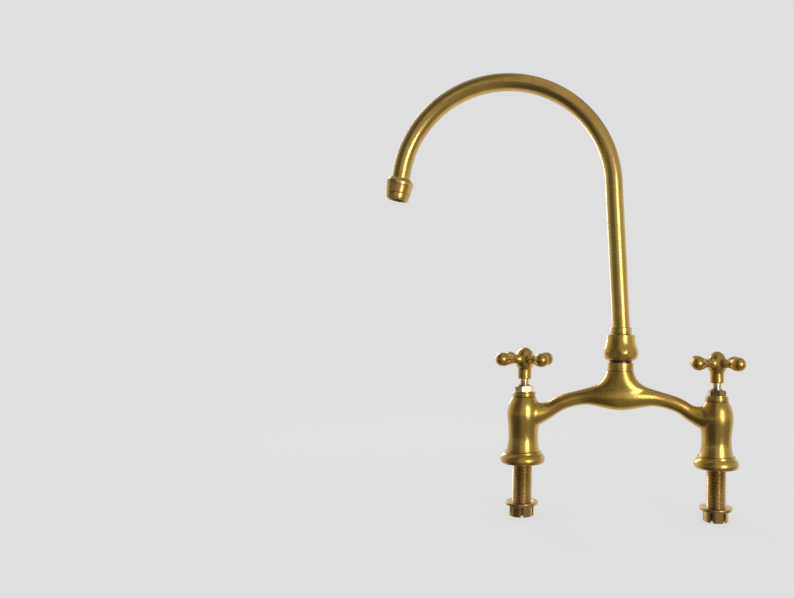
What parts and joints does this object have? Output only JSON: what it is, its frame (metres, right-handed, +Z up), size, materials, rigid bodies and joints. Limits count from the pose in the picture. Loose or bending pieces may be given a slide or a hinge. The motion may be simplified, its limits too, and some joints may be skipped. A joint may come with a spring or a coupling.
{
  "type": "bridge kitchen faucet",
  "caption": "Two-handle bridge kitchen faucet in aged brass, with arched bridge, baluster legs, cross handles and a swivelling swan-neck spout.",
  "frame": {"origin": "on the deck's top face, midway between the two legs", "axes": "+Z up; +X along the bridge to the right-hand (cold) leg; -Y towards the user. The spout points along -X at rest."},
  "size_m": [0.3885, 0.059, 0.473],
  "materials": {
    "cast_brass": "satin unlacquered aged brass casting",
    "drawn_brass": "satin unlacquered aged brass tube and turned rings",
    "polished_brass": "bright turned brass",
    "raw_brass": "machined brass with a rose tint",
    "spring_steel": "plain spring steel",
    "ceramic": "lapped ceramic",
    "rubber": "black rubber",
    "nylon": "natural nylon",
    "dark_plastic": "dark moulded plastic"
  },
  "bodies": {
    "bridge": {"bridge_body": "cast_brass", "left_tail": "raw_brass", "left_valve_body": "polished_brass", "left_bonnet_o_ring": "rubber", "left_seat_seal": "rubber", "left_fixed_disc": "ceramic", "right_tail": "raw_brass", "right_valve_body": "polished_brass", "right_bonnet_o_ring": "rubber", "right_seat_seal": "rubber", "right_fixed_disc": "ceramic", "swivel_nut": "cast_brass", "lower_slip_ring": "nylon", "upper_slip_ring": "nylon"},
    "spout": {"spout_spigot": "raw_brass", "lower_spigot_o_ring": "rubber", "upper_spigot_o_ring": "rubber", "spout_collar": "cast_brass", "spout_tube": "drawn_brass", "outlet_socket": "drawn_brass", "aerator_shell": "drawn_brass", "aerator_insert": "dark_plastic", "aerator_washer": "rubber"},
    "left_handle": {"left_handle": "cast_brass", "left_set_screw": "spring_steel", "left_spindle": "polished_brass", "left_spindle_clip": "spring_steel", "left_spindle_o_ring": "rubber", "left_moving_disc": "ceramic"},
    "left_backnut": {"left_backnut": "raw_brass"},
    "right_handle": {"right_handle": "cast_brass", "right_set_screw": "spring_steel", "right_spindle": "polished_brass", "right_spindle_clip": "spring_steel", "right_spindle_o_ring": "rubber", "right_moving_disc": "ceramic"},
    "right_backnut": {"right_backnut": "raw_brass"}
  },
  "joints": [
    {"name": "spout_swivel", "type": "hinge", "parent": "bridge", "child": "spout", "pos_m": [0, 0, 0.1187], "axis": [0, 0, 1], "continuous": true},
    {"name": "left_handle_turn", "type": "hinge", "parent": "bridge", "child": "left_handle", "pos_m": [-0.1016, 0, 0.074], "axis": [0, 0, 1], "range_deg": [0, 90]},
    {"name": "right_handle_turn", "type": "hinge", "parent": "bridge", "child": "right_handle", "pos_m": [0.1016, 0, 0.074], "axis": [0, 0, 1], "range_deg": [-90, 0]},
    {"name": "left_backnut_travel", "type": "slide", "parent": "bridge", "child": "left_backnut", "axis": [0, 0, 1], "range_m": [0, 0.0395]},
    {"name": "right_backnut_travel", "type": "slide", "parent": "bridge", "child": "right_backnut", "axis": [0, 0, 1], "range_m": [0, 0.0395]}
  ]
}
